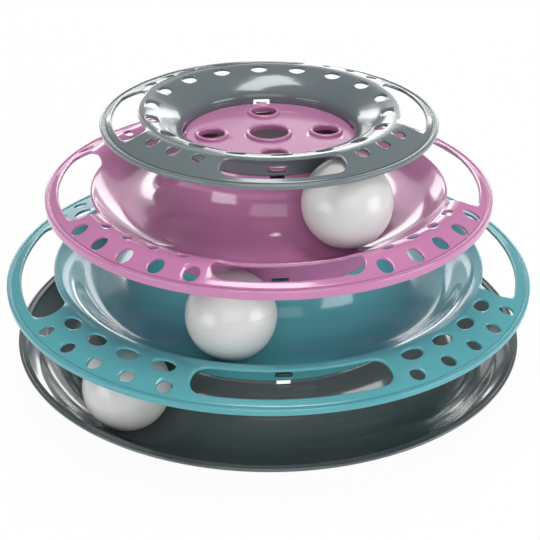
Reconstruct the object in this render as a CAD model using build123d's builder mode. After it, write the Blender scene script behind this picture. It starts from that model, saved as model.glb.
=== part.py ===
"""Cat ball track toy: three stacked ring tracks with a loose ball in each one.

Millimetres, +Z up. The origin is on the table, under the middle of the tower, and the front is -Y.
"""

import os
from math import cos, radians, sin, sqrt, tan

from build123d import *

# Shared sizes of the moulded shells
wall = 1.5
bead_width = 2.0
bead_step = 0.2
bead_round = 0.6
bead_low_round = 0.3
bowl_angle = 40.0
hub_taper = 3.0
cut_overrun = 1.0
track_play = 1.3
track_fillet_share = 0.98
slot_corner_share = 0.42
sharp_corner = 0.0

# Snap joint between a hub and the collar that sits on it
shoulder_width = 2.0
spigot_height = 3.2
collar_wall = 1.6
collar_gap = 0.25
snap_count = 4
window_width = 7.8
window_low = 1.7
window_height = 3.2
nose_width = 5.6
nose_height = 1.2
nose_inset = 0.2
shutoff_width = 6.2
shutoff_depth = 2.2
hub_flange = 8.0

# Balls: two half shells with a lap joint
ball_diameter = 39.5
ball_wall = 1.5
ball_float = 0.3
lap_height = 1.6
lap_thickness = 0.7
lap_gap = 0.05

# Base tray: its hub stands a little inside the lower track, and the bowl's width runs to the rim
base_floor = 4.8
base_hub_inset = 1.5
base_bowl_width = 26.8
base_rim_rise = 11.2
base_rim_height = 2.6

# Rubber feet, each in a round seat under the base track
foot_count = 4
foot_start_angle = 45.0
foot_diameter = 14.0
foot_height = 2.6
foot_round = 0.6
foot_gap = 0.1
foot_seat_wall = 1.6
foot_seat_low = 1.2

# Lower tier: headroom is over the ball below, insets are from the rim, and the rise is over the floor
lower_headroom = -1.3
lower_collar_height = 13.7
lower_hub_inset = 8.2
lower_bowl_width = 24.9
lower_brim_width = 24.5
lower_brim_angle = 15.9
lower_crest_fillet = 14.6
lower_rim_rise = 3.0
lower_rim_height = 2.6
lower_slot_inset = 7.2
lower_slot_width = 14.0
lower_front_slot_half_angle = 22.0
lower_side_slot_half_angle = 24.0
lower_outer_row_inset = 7.7
lower_outer_row_count = 5
lower_outer_row_step = 8.7
lower_outer_hole_radial = 6.6
lower_outer_hole_across = 6.6
lower_inner_row_inset = 17.1
lower_inner_row_count = 4
lower_inner_row_step = 9.8
lower_inner_hole_radial = 6.6
lower_inner_hole_across = 9.2

# Middle tier, measured in the same way
middle_headroom = 3.8
middle_collar_height = 21.3
middle_hub_radius = 41.2
middle_bowl_width = 26.2
middle_brim_width = 15.2
middle_brim_angle = 23.7
middle_crest_fillet = 10.0
middle_rim_rise = 0.9
middle_rim_height = 3.8
middle_slot_inset = 6.3
middle_slot_width = 14.3
middle_front_slot_half_angle = 20.1
middle_side_slot_half_angle = 23.2
middle_outer_row_inset = 7.0
middle_outer_row_count = 5
middle_outer_row_step = 9.65
middle_outer_hole_radial = 7.6
middle_outer_hole_across = 6.8
middle_inner_row_inset = 16.9
middle_inner_row_count = 4
middle_inner_row_step = 9.7
middle_inner_hole_radial = 5.0
middle_inner_hole_across = 5.0

# Round holes in the disc on top of the middle tier's hub, each with a raised rim
disc_centre_hole = 16.4
disc_centre_rim = 20.4
disc_small_hole = 11.0
disc_small_rim = 14.8
disc_small_pitch = 26.3
disc_small_count = 4
disc_rim_height = 1.2
disc_rim_round = 0.7

# Top ring: a funnel, a flat crest and a brim; its rise is over the throat
top_headroom = -4.8
top_collar_height = 7.8
top_throat_fillet = 5.0
top_funnel_width = 12.7
top_crest_width = 11.0
top_crest_inner_fillet = 11.0
top_crest_outer_fillet = 20.0
top_brim_width = 13.8
top_brim_angle = 22.8
top_rim_rise = 1.9
top_rim_height = 2.0
top_slot_inset = 5.3
top_slot_width = 12.0
top_front_slot_half_angle = 22.9
top_side_slot_half_angle = 24.4
top_outer_row_inset = 12.7
top_outer_row_count = 3
top_outer_row_step = 11.95
top_outer_hole_radial = 5.8
top_outer_hole_across = 5.8
top_inner_row_inset = 23.8
top_inner_row_count = 18
top_inner_hole = 7.6

# Places of the balls: angle from the front, positive to the right, and the way the seam's normal leans
upper_ball_angle = 27.0
middle_ball_angle = -17.6
lower_ball_angle = -46.5
seam_towards_viewer = (-0.08, -0.87, 0.48)
seam_nearly_level = (-0.16, 0.24, 0.96)

front_angle = -90.0
quarter_turn = 90.0
half_turn = 180.0
full_turn = 360.0
hub_half_turn = radians(quarter_turn - hub_taper) / 2
bowl_half_turn = radians(bowl_angle) / 2
ball_radius = ball_diameter / 2


def hub_foot(hub_radius, hub_height):
    """Radius of a tapered hub where its side meets the floor of the track."""
    return hub_radius + hub_height * tan(radians(hub_taper))


def ball_path(hub_radius, hub_height):
    """Radius of the circle that the middle of a ball runs on round a hub."""
    return hub_foot(hub_radius, hub_height) + (ball_radius + track_play) * tan(hub_half_turn)


def brim_start(rim_radius, rim_low, rim_height, brim_angle):
    """Point where the brim runs into the bead at its rim."""
    drop = tan(radians(brim_angle)) * bead_width / 2
    return (rim_radius - bead_width / 2, rim_low + rim_height - bead_step - drop)


def crest_corner(radius, start, brim_angle):
    """Corner at the inner end of a brim: its top face carried on in a straight line to a radius."""
    return (radius, start[1] + (start[0] - radius) * tan(radians(brim_angle)))


def hub_points(hub_radius, shoulder, disc_inner):
    """Hub's top from the middle outwards: disc or flange, spigot, then the shoulder."""
    spigot_radius = hub_radius - shoulder_width
    spigot_top = shoulder + spigot_height
    spigot = [(disc_inner, spigot_top), (spigot_radius, spigot_top), (spigot_radius, shoulder)]
    return [*spigot, (hub_radius, shoulder)]


def track_corners(hub_radius, hub_height, floor, bowl_top):
    """Two corners that the round bottom of a ring track is drawn between."""
    bowl_foot = bowl_top[0] - (bowl_top[1] - floor) / tan(radians(bowl_angle))
    return [(hub_foot(hub_radius, hub_height), floor), (bowl_foot, floor)]


def bowl_wall(floor, bowl_top, crest_fillet, brim_angle):
    """Length of a bowl's straight wall below the rounding of its crest."""
    rounding = crest_fillet * tan(radians(bowl_angle + brim_angle) / 2)
    return (bowl_top[1] - floor) / sin(radians(bowl_angle)) - rounding


def track_fillets(corners, path, hub_height, bowl_wall_length):
    """Fillets at a track's two corners, as large as the ball's path and the walls leave room for."""
    hub_room = min(path - corners[0][0], hub_height)
    bowl_room = min(corners[1][0] - path, bowl_wall_length)
    return [hub_room / tan(hub_half_turn) * track_fillet_share,
            bowl_room / tan(bowl_half_turn) * track_fillet_share]


def collar_top(radius, corner, fillet_radius):
    """Height of the middle of the wall where a collar runs into the round foot of a hub."""
    centre = corner[0] + fillet_radius * tan(hub_half_turn)
    return corner[1] + fillet_radius - sqrt((fillet_radius + wall / 2) ** 2 - (radius - centre) ** 2)


def wall_strip(points, fillets):
    """Section of a shell: one wall thickness under a line of points with rounded corners."""
    with BuildSketch() as strip:
        with BuildLine():
            FilletPolyline(*points, radius=fillets)
            offset(amount=wall, side=Side.RIGHT, kind=Kind.INTERSECTION)
        make_face()
    return strip.sketch


def bead_section(rim_radius, rim_low, rim_height):
    """Section of the thick rim of a brim, rounder above than below."""
    with BuildSketch() as bead:
        with Locations((rim_radius - bead_width, rim_low)):
            Rectangle(bead_width, rim_height, align=(Align.MIN, Align.MIN))
        fillet(bead.vertices().group_by(Axis.Y)[-1], radius=bead_round)
        fillet(bead.vertices().group_by(Axis.Y)[0], radius=bead_low_round)
    return bead.sketch


def collar_section(spigot_radius, low, high):
    """Section of the collar that goes down over the spigot of the piece below."""
    with BuildSketch() as collar:
        with Locations((spigot_radius + collar_gap, low)):
            Rectangle(collar_wall, high - low, align=(Align.MIN, Align.MIN))
    return collar.sketch


def arc_slot(inner, outer, half_angle, middle_angle):
    """Curved slot between two radii with rounded corners."""
    start = middle_angle - half_angle
    end = middle_angle + half_angle
    with BuildSketch() as slot:
        with BuildLine():
            outer_arc = CenterArc((0, 0), outer, start, end - start)
            inner_arc = CenterArc((0, 0), inner, start, end - start)
            Line(outer_arc @ 0, inner_arc @ 0)
            Line(outer_arc @ 1, inner_arc @ 1)
        make_face()
        fillet(slot.vertices(), radius=(outer - inner) * slot_corner_share)
    return slot.sketch


def ring_slots(outer, width, front_half_angle, side_half_angle):
    """Four slots of a brim: front, right, back and left."""
    half_angles = [front_half_angle, side_half_angle, front_half_angle, side_half_angle]
    with BuildSketch() as slots:
        for index, half_angle in enumerate(half_angles):
            add(arc_slot(outer - width, outer, half_angle, front_angle + index * quarter_turn))
    return slots.sketch


def land_angle(front_half_angle, side_half_angle):
    """Angle from the front to the middle of a land, halfway between two slots."""
    return (front_half_angle + quarter_turn - side_half_angle) / 2


def hole_row(radius, count, step, land, radial, across):
    """Row of holes on each of the four lands between the slots."""
    first = -step * (count - 1) / 2
    span = step * (count - 1)
    with BuildSketch() as row:
        for axis_angle in (front_angle, front_angle + half_turn):
            for side in (-land, land):
                with PolarLocations(radius, count, axis_angle + side + first, span, endpoint=True):
                    Ellipse(radial / 2, across / 2)
    return row.sketch


def seam_plane(path, floor, angle, seam_normal):
    """Plane of a ball's seam, through its middle, where the ball lies in its track."""
    turn = radians(front_angle + angle)
    height = floor + ball_float + ball_radius
    return Plane(origin=(path * cos(turn), path * sin(turn), height), z_dir=seam_normal)


def write_piece(part, name):
    """Label a finished piece and write it to its own file."""
    part.label = name
    export_step(part, f"parts/{name}.step")


os.makedirs("parts", exist_ok=True)

# Heights of the stack, from the base up: each floor clears the ball below it
lower_floor = base_floor + ball_diameter + lower_headroom
middle_floor = lower_floor + ball_diameter + middle_headroom
top_throat = middle_floor + ball_diameter + top_headroom
base_shoulder = lower_floor - lower_collar_height
lower_shoulder = middle_floor - middle_collar_height
middle_shoulder = top_throat - top_collar_height
base_hub_height = base_shoulder - base_floor
lower_hub_height = lower_shoulder - lower_floor
middle_hub_height = middle_shoulder - middle_floor
base_rim_low = base_floor + base_rim_rise
lower_rim_low = lower_floor + lower_rim_rise
middle_rim_low = middle_floor + middle_rim_rise
top_rim_low = top_throat + top_rim_rise

# Radii of the stack, from the top hub down and outwards: hub, path of the ball, crest, rim
middle_path = ball_path(middle_hub_radius, middle_hub_height)
lower_hub_radius = middle_path - lower_hub_inset
lower_path = ball_path(lower_hub_radius, lower_hub_height)
base_hub_radius = lower_path - base_hub_inset
base_path = ball_path(base_hub_radius, base_hub_height)
base_rim_radius = base_path + base_bowl_width
lower_crest_radius = lower_path + lower_bowl_width
lower_rim_radius = lower_crest_radius + lower_brim_width
middle_crest_radius = middle_path + middle_bowl_width
middle_rim_radius = middle_crest_radius + middle_brim_width
base_spigot_radius = base_hub_radius - shoulder_width
lower_spigot_radius = lower_hub_radius - shoulder_width
middle_spigot_radius = middle_hub_radius - shoulder_width
top_throat_radius = middle_spigot_radius + collar_gap
top_crest_inner_radius = top_throat_radius + top_funnel_width
top_crest_outer_radius = top_crest_inner_radius + top_crest_width
top_rim_radius = top_crest_outer_radius + top_brim_width

# The three corners at a hub's top stay sharp
hub_corners = [sharp_corner] * 3

# Base tray
base_rim_start = (base_rim_radius - bead_width / 2, base_rim_low + base_rim_height - bead_step)
base_corners = track_corners(base_hub_radius, base_hub_height, base_floor, base_rim_start)
base_wall_length = bowl_wall(base_floor, base_rim_start, sharp_corner, sharp_corner)
base_fillets = track_fillets(base_corners, base_path, base_hub_height, base_wall_length)
base_hub = hub_points(base_hub_radius, base_shoulder, base_spigot_radius - hub_flange)

with BuildPart() as base_tray:
    with BuildSketch(Plane.XZ):
        add(wall_strip([*base_hub, *base_corners, base_rim_start], [*hub_corners, *base_fillets]))
        add(bead_section(base_rim_radius, base_rim_low, base_rim_height))
    revolve(axis=Axis.Z)
    with BuildSketch(Plane.XY.offset(foot_seat_low)):
        with PolarLocations(base_path, foot_count, foot_start_angle):
            Circle(foot_diameter / 2 + foot_seat_wall)
    extrude(until=Until.NEXT)
    with BuildSketch(Plane.XY.offset(foot_seat_low)):
        with PolarLocations(base_path, foot_count, foot_start_angle):
            Circle(foot_diameter / 2 + foot_gap)
    extrude(amount=foot_height - foot_seat_low, mode=Mode.SUBTRACT)
    with BuildSketch(Plane.XY.offset(base_shoulder - shutoff_depth)):
        with PolarLocations(base_hub_radius, snap_count):
            Rectangle(shoulder_width * 2, shutoff_width)
    extrude(amount=shutoff_depth + cut_overrun, mode=Mode.SUBTRACT)
    with BuildSketch(Plane.XY.offset(base_shoulder + spigot_height - nose_height)):
        with PolarLocations(base_spigot_radius, snap_count):
            Rectangle((collar_gap + collar_wall - nose_inset) * 2, nose_width)
    extrude(amount=nose_height)

write_piece(base_tray.part, "base_tray")

# Rubber feet
for index in range(foot_count):
    foot_turn = radians(foot_start_angle + index * full_turn / foot_count)
    foot_place = Plane(origin=(base_path * cos(foot_turn), base_path * sin(foot_turn), 0))
    with BuildPart() as rubber_foot:
        with BuildSketch(foot_place):
            Circle(foot_diameter / 2)
        extrude(amount=foot_height)
        fillet(rubber_foot.edges().group_by(Axis.Z)[0], radius=foot_round)
    write_piece(rubber_foot.part, f"rubber_foot_{index + 1}")

# Lower tier
lower_brim = brim_start(lower_rim_radius, lower_rim_low, lower_rim_height, lower_brim_angle)
lower_crest = crest_corner(lower_crest_radius, lower_brim, lower_brim_angle)
lower_corners = track_corners(lower_hub_radius, lower_hub_height, lower_floor, lower_crest)
lower_wall_length = bowl_wall(lower_floor, lower_crest, lower_crest_fillet, lower_brim_angle)
lower_fillets = track_fillets(lower_corners, lower_path, lower_hub_height, lower_wall_length)
lower_hub = hub_points(lower_hub_radius, lower_shoulder, lower_spigot_radius - hub_flange)
lower_collar_radius = base_spigot_radius + collar_gap + collar_wall / 2
lower_collar_top = collar_top(lower_collar_radius, lower_corners[0], lower_fillets[0])
lower_land = land_angle(lower_front_slot_half_angle, lower_side_slot_half_angle)

with BuildPart() as lower_tier:
    with BuildSketch(Plane.XZ):
        lower_line = [*lower_hub, *lower_corners, lower_crest, lower_brim]
        add(wall_strip(lower_line, [*hub_corners, *lower_fillets, lower_crest_fillet]))
        add(bead_section(lower_rim_radius, lower_rim_low, lower_rim_height))
        add(collar_section(base_spigot_radius, base_shoulder, lower_collar_top))
    revolve(axis=Axis.Z)
    with BuildSketch(Plane.XY.offset(lower_rim_low)):
        add(ring_slots(lower_rim_radius - lower_slot_inset, lower_slot_width,
                       lower_front_slot_half_angle, lower_side_slot_half_angle))
        add(hole_row(lower_rim_radius - lower_outer_row_inset, lower_outer_row_count, lower_outer_row_step,
                     lower_land, lower_outer_hole_radial, lower_outer_hole_across))
        add(hole_row(lower_rim_radius - lower_inner_row_inset, lower_inner_row_count, lower_inner_row_step,
                     lower_land, lower_inner_hole_radial, lower_inner_hole_across))
    extrude(amount=lower_crest[1] - lower_rim_low, mode=Mode.SUBTRACT)
    with BuildSketch(Plane.XY.offset(base_shoulder + window_low)):
        with PolarLocations(lower_collar_radius, snap_count):
            Rectangle(collar_wall * 2, window_width)
    extrude(amount=window_height, mode=Mode.SUBTRACT)
    with BuildSketch(Plane.XY.offset(lower_shoulder - shutoff_depth)):
        with PolarLocations(lower_hub_radius, snap_count):
            Rectangle(shoulder_width * 2, shutoff_width)
    extrude(amount=shutoff_depth + cut_overrun, mode=Mode.SUBTRACT)
    with BuildSketch(Plane.XY.offset(lower_shoulder + spigot_height - nose_height)):
        with PolarLocations(lower_spigot_radius, snap_count):
            Rectangle((collar_gap + collar_wall - nose_inset) * 2, nose_width)
    extrude(amount=nose_height)

write_piece(lower_tier.part, "lower_tier")

# Middle tier, whose hub is closed by a disc with rimmed holes
middle_brim = brim_start(middle_rim_radius, middle_rim_low, middle_rim_height, middle_brim_angle)
middle_crest = crest_corner(middle_crest_radius, middle_brim, middle_brim_angle)
middle_corners = track_corners(middle_hub_radius, middle_hub_height, middle_floor, middle_crest)
middle_wall_length = bowl_wall(middle_floor, middle_crest, middle_crest_fillet, middle_brim_angle)
middle_fillets = track_fillets(middle_corners, middle_path, middle_hub_height, middle_wall_length)
middle_hub = hub_points(middle_hub_radius, middle_shoulder, disc_centre_hole / 2)
middle_collar_radius = lower_spigot_radius + collar_gap + collar_wall / 2
middle_collar_top = collar_top(middle_collar_radius, middle_corners[0], middle_fillets[0])
middle_land = land_angle(middle_front_slot_half_angle, middle_side_slot_half_angle)
disc_top = middle_shoulder + spigot_height

with BuildPart() as middle_tier:
    with BuildSketch(Plane.XZ):
        middle_line = [*middle_hub, *middle_corners, middle_crest, middle_brim]
        add(wall_strip(middle_line, [*hub_corners, *middle_fillets, middle_crest_fillet]))
        add(bead_section(middle_rim_radius, middle_rim_low, middle_rim_height))
        add(collar_section(lower_spigot_radius, lower_shoulder, middle_collar_top))
    revolve(axis=Axis.Z)
    with BuildSketch(Plane.XY.offset(middle_rim_low)):
        add(ring_slots(middle_rim_radius - middle_slot_inset, middle_slot_width,
                       middle_front_slot_half_angle, middle_side_slot_half_angle))
        add(hole_row(middle_rim_radius - middle_outer_row_inset, middle_outer_row_count,
                     middle_outer_row_step, middle_land, middle_outer_hole_radial,
                     middle_outer_hole_across))
        add(hole_row(middle_rim_radius - middle_inner_row_inset, middle_inner_row_count,
                     middle_inner_row_step, middle_land, middle_inner_hole_radial,
                     middle_inner_hole_across))
    extrude(amount=middle_crest[1] - middle_rim_low, mode=Mode.SUBTRACT)
    with BuildSketch(Plane.XY.offset(lower_shoulder + window_low)):
        with PolarLocations(middle_collar_radius, snap_count):
            Rectangle(collar_wall * 2, window_width)
    extrude(amount=window_height, mode=Mode.SUBTRACT)
    with BuildSketch(Plane.XY.offset(middle_shoulder - shutoff_depth)):
        with PolarLocations(middle_hub_radius, snap_count):
            Rectangle(shoulder_width * 2, shutoff_width)
    extrude(amount=shutoff_depth + cut_overrun, mode=Mode.SUBTRACT)
    with BuildSketch(Plane.XY.offset(disc_top - nose_height)):
        with PolarLocations(middle_spigot_radius, snap_count):
            Rectangle((collar_gap + collar_wall - nose_inset) * 2, nose_width)
    extrude(amount=nose_height)
    with BuildSketch(Plane.XY.offset(disc_top)):
        Circle(disc_centre_rim / 2)
        with PolarLocations(disc_small_pitch, disc_small_count):
            Circle(disc_small_rim / 2)
    extrude(amount=disc_rim_height)
    with BuildSketch(Plane.XY.offset(disc_top + disc_rim_height)):
        Circle(disc_centre_hole / 2)
        with PolarLocations(disc_small_pitch, disc_small_count):
            Circle(disc_small_hole / 2)
    extrude(amount=-(disc_rim_height + wall + cut_overrun), mode=Mode.SUBTRACT)
    disc_rim_edges = middle_tier.edges().filter_by(GeomType.CIRCLE).group_by(Axis.Z)[-1]
    fillet(disc_rim_edges, radius=disc_rim_round)

write_piece(middle_tier.part, "middle_tier")

# Top ring: brim, crest and funnel down to the collar on the middle tier's hub
top_brim = brim_start(top_rim_radius, top_rim_low, top_rim_height, top_brim_angle)
top_crest_outer = crest_corner(top_crest_outer_radius, top_brim, top_brim_angle)
top_crest_inner = (top_crest_inner_radius, top_crest_outer[1])
top_land = land_angle(top_front_slot_half_angle, top_side_slot_half_angle)

with BuildPart() as top_ring:
    with BuildSketch(Plane.XZ):
        top_collar = [(top_throat_radius, middle_shoulder), (top_throat_radius, top_throat)]
        add(wall_strip([*top_collar, top_crest_inner, top_crest_outer, top_brim],
                       [top_throat_fillet, top_crest_inner_fillet, top_crest_outer_fillet]))
        add(bead_section(top_rim_radius, top_rim_low, top_rim_height))
    revolve(axis=Axis.Z)
    with BuildSketch(Plane.XY.offset(top_rim_low)):
        add(ring_slots(top_rim_radius - top_slot_inset, top_slot_width,
                       top_front_slot_half_angle, top_side_slot_half_angle))
        add(hole_row(top_rim_radius - top_outer_row_inset, top_outer_row_count, top_outer_row_step,
                     top_land, top_outer_hole_radial, top_outer_hole_across))
        with PolarLocations(top_rim_radius - top_inner_row_inset, top_inner_row_count, front_angle):
            Circle(top_inner_hole / 2)
    extrude(amount=top_crest_outer[1] - top_rim_low + cut_overrun, mode=Mode.SUBTRACT)
    with BuildSketch(Plane.XY.offset(middle_shoulder + window_low)):
        with PolarLocations(top_throat_radius + wall / 2, snap_count):
            Rectangle(wall * 2, window_width)
    extrude(amount=window_height, mode=Mode.SUBTRACT)

write_piece(top_ring.part, "top_ring")

# Balls: a bottom half with a tongue, and a top half with the rebate that goes over it
ball_inner_radius = ball_radius - ball_wall
tongue_radius = ball_inner_radius + lap_thickness

ball_places = {
    "upper_ball": seam_plane(middle_path, middle_floor, upper_ball_angle, seam_towards_viewer),
    "middle_ball": seam_plane(lower_path, lower_floor, middle_ball_angle, seam_nearly_level),
    "lower_ball": seam_plane(base_path, base_floor, lower_ball_angle, seam_towards_viewer),
}

for name, seam in ball_places.items():
    with BuildPart(seam) as top_half:
        Sphere(ball_radius)
        Sphere(ball_inner_radius, mode=Mode.SUBTRACT)
        split(bisect_by=seam, keep=Keep.TOP)
        Cylinder(tongue_radius + lap_gap, lap_height + lap_gap, mode=Mode.SUBTRACT,
                 align=(Align.CENTER, Align.CENTER, Align.MIN))
    write_piece(top_half.part, f"{name}_top_half")

    with BuildPart(seam) as bottom_half:
        Sphere(ball_radius)
        split(bisect_by=seam, keep=Keep.BOTTOM)
        Cylinder(tongue_radius, lap_height, align=(Align.CENTER, Align.CENTER, Align.MIN))
        Sphere(ball_inner_radius, mode=Mode.SUBTRACT)
    write_piece(bottom_half.part, f"{name}_bottom_half")
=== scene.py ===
"""Looks of the cat ball track toy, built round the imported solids.

Sizes in the classes are millimetres in the frame of the solids: +Z up, -Y to the front, and the origin on
the table under the middle of the tower. They become metres when a mesh is made.
"""

import logging
from dataclasses import dataclass, field
from enum import Enum
from math import asin, atan2, cos, hypot, pi, radians, sin, tan

import bmesh
import bpy
import numpy as np
from mathutils import Matrix, Vector


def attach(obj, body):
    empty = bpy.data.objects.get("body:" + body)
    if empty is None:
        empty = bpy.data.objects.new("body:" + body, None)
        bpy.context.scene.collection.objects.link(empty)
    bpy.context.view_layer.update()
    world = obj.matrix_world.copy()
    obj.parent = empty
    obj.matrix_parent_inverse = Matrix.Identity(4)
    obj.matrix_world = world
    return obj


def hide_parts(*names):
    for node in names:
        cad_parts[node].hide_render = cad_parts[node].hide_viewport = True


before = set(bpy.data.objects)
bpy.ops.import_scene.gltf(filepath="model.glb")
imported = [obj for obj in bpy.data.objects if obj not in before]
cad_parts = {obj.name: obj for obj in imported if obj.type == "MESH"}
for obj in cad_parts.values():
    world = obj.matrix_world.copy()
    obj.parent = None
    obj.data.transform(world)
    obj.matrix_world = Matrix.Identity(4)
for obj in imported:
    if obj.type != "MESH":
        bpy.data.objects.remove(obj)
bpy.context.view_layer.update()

MM = 0.001
TURN_STEPS = 400
TURN_STEP = 2 * pi / TURN_STEPS
FRONT = -pi / 2
MERGE_DISTANCE = 1e-6
EDGE_ROUND = 0.5
SMOOTH_ANGLE = 35.0
UPPER_PATH = 62.585
MIDDLE_PATH = 75.514
LOWER_PATH = 95.274
LOG = logging.getLogger("ball_track_tower")

Line = list[tuple[float, float]]
Colour = tuple[float, float, float]
Object = bpy.types.Object
Tree = bpy.types.NodeTree
Node = bpy.types.Node
Socket = bpy.types.NodeSocket


class Facing(Enum):
    """Side of an open skin that is looked at."""

    UP = "up"
    OUT = "out"


def wrapped(turns: np.ndarray | float) -> np.ndarray | float:
    """Angles brought to between minus and plus half a turn."""
    return (turns + pi) % (2 * pi) - pi


def polar(places: np.ndarray) -> tuple[np.ndarray, np.ndarray, np.ndarray]:
    """Radii, angles and heights of places; the places are in metres, the radii and heights in millimetres."""
    x, y, z = places.T
    return np.hypot(x, y) / MM, np.arctan2(y, x), z / MM


class Bench:
    """Blender's edit tools, used on one object at a time."""

    @staticmethod
    def take(obj: Object) -> None:
        """Select one object alone and make it the active one.

        Args:
            obj: Object to work on.
        """
        bpy.ops.object.select_all(action="DESELECT")
        obj.select_set(True)
        bpy.context.view_layer.objects.active = obj

    @staticmethod
    def modify(obj: Object, kind: str, **settings: object) -> None:
        """Add a modifier with its settings and apply it.

        Args:
            obj: Object that gets the modifier.
            kind: Blender's name of the modifier type.
            **settings: Values for the modifier's own properties.
        """
        Bench.take(obj)
        bpy.ops.object.modifier_add(type=kind)
        modifier = obj.modifiers[-1]
        for name, value in settings.items():
            setattr(modifier, name, value)
        bpy.ops.object.modifier_apply(modifier=modifier.name)

    @staticmethod
    def join(name: str, pieces: list[Object]) -> Object:
        """Join several objects into one.

        Args:
            name: Name of the joined object.
            pieces: Objects to join; the first one stays.

        Returns:
            The joined object.
        """
        Bench.take(pieces[0])
        for piece in pieces[1:]:
            piece.select_set(True)
        if len(pieces) > 1:
            bpy.ops.object.join()
        pieces[0].name = name
        pieces[0].data.name = name
        return pieces[0]

    @staticmethod
    def select_faces(obj: Object, chosen: np.ndarray) -> None:
        """Select the chosen faces alone and go to edit mode.

        Args:
            obj: Object whose faces are selected.
            chosen: One truth value per face.
        """
        Bench.take(obj)
        bpy.context.tool_settings.mesh_select_mode = (False, False, True)
        mesh = obj.data
        mesh.vertices.foreach_set("select", np.zeros(len(mesh.vertices), dtype=bool))
        mesh.edges.foreach_set("select", np.zeros(len(mesh.edges), dtype=bool))
        mesh.polygons.foreach_set("select", chosen)
        bpy.ops.object.mode_set(mode="EDIT")

    @staticmethod
    def face_centres(obj: Object) -> np.ndarray:
        """Middle of every face.

        Args:
            obj: Object whose faces are asked for.

        Returns:
            One place per face, in metres.
        """
        centres = np.empty(len(obj.data.polygons) * 3)
        obj.data.polygons.foreach_get("center", centres)
        return centres.reshape(-1, 3)

    @staticmethod
    def lathe(name: str, line: Line, closed: bool, facing: Facing = Facing.UP, steps: int = TURN_STEPS,
              centre: tuple[float, float] = (0.0, 0.0)) -> Object:
        """Spin a line of points once round an upright axis.

        Args:
            name: Name of the new object.
            line: Points as radius and height.
            closed: True for a closed section, False for an open skin.
            facing: Side that an open skin shows.
            steps: Steps of the full turn.
            centre: Place of the axis.

        Returns:
            The new object.
        """
        bpy.ops.object.select_all(action="DESELECT")
        bpy.ops.mesh.primitive_circle_add(vertices=len(line), radius=1.0)
        obj = bpy.context.active_object
        obj.name = name
        places = np.zeros((len(line), 3))
        places[:, 0] = [centre[0] + point[0] for point in line]
        places[:, 1] = centre[1]
        places[:, 2] = [point[1] for point in line]
        obj.data.vertices.foreach_set("co", (places * MM).ravel())
        bpy.context.tool_settings.mesh_select_mode = (False, True, False)
        ends = {0, len(line) - 1}
        closing = [set(edge.vertices) == ends for edge in obj.data.edges]
        obj.data.vertices.foreach_set("select", np.zeros(len(line), dtype=bool))
        obj.data.edges.foreach_set("select", closing)
        bpy.ops.object.mode_set(mode="EDIT")
        if not closed:
            bpy.ops.mesh.delete(type="EDGE")
        bpy.ops.mesh.select_all(action="SELECT")
        axis_place = (centre[0] * MM, centre[1] * MM, 0.0)
        bpy.ops.mesh.spin(steps=steps, angle=2 * pi, center=axis_place, axis=(0.0, 0.0, 1.0))
        bpy.ops.mesh.select_all(action="SELECT")
        bpy.ops.mesh.remove_doubles(threshold=MERGE_DISTANCE)
        bpy.ops.mesh.normals_make_consistent(inside=False)
        if not closed and Bench.faces_wrong_way(obj, facing):
            bpy.ops.mesh.flip_normals()
        bpy.ops.object.mode_set(mode="OBJECT")
        return obj

    @staticmethod
    def faces_wrong_way(obj: Object, facing: Facing) -> bool:
        """Whether an open skin in edit mode shows its back on the side that is looked at.

        Args:
            obj: Skin in edit mode.
            facing: Side that is looked at.

        Returns:
            True where the skin has to be turned round.
        """
        total = 0.0
        for face in bmesh.from_edit_mesh(obj.data).faces:
            middle = face.calc_center_median()
            out = face.normal.x * middle.x + face.normal.y * middle.y
            total += (face.normal.z if facing is Facing.UP else out) * face.calc_area()
        return total < 0.0


def rounded_line(points: Line, radii: list[float], pitches: list[float]) -> Line:
    """Line through points with rounded corners, cut into short steps.

    Args:
        points: Corner points.
        radii: Fillet radius at each point between the two ends; 0 keeps the corner.
        pitches: Step along each stretch from point to point; the last one counts for the rest.

    Returns:
        Points along the line.
    """
    corners = [Vector(point) for point in points]
    pitches = pitches + [pitches[-1]] * (len(points) - 1 - len(pitches))
    stops = [[corners[0]]]
    for index, (before, corner, after, radius) in enumerate(zip(corners, corners[1:], corners[2:], radii)):
        back = (before - corner).normalized()
        ahead = (after - corner).normalized()
        half = back.angle(ahead) / 2
        if radius == 0.0:
            stops.append([corner])
            continue
        centre = corner + (back + ahead).normalized() * (radius / sin(half))
        first = corner + back * (radius / tan(half)) - centre
        turn = pi - 2 * half
        count = max(4, int(radius * turn / min(pitches[index:index + 2])) + 1)
        sense = 1.0 if first.x * ahead.y - first.y * ahead.x > 0 else -1.0
        arc = []
        for part in range(count + 1):
            angle = sense * turn * part / count
            arc.append(centre + Vector((first.x * cos(angle) - first.y * sin(angle),
                                        first.x * sin(angle) + first.y * cos(angle))))
        stops.append(arc)
    stops.append([corners[-1]])
    line = [stops[0][0]]
    for stop, pitch in zip(stops[1:], pitches):
        gap = stop[0] - line[-1]
        count = max(1, int(gap.length / pitch + 0.5))
        start = line[-1]
        line.extend(start + gap * (part / count) for part in range(1, count + 1))
        line.extend(stop[1:])
    return [(point.x, point.y) for point in line]


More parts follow.
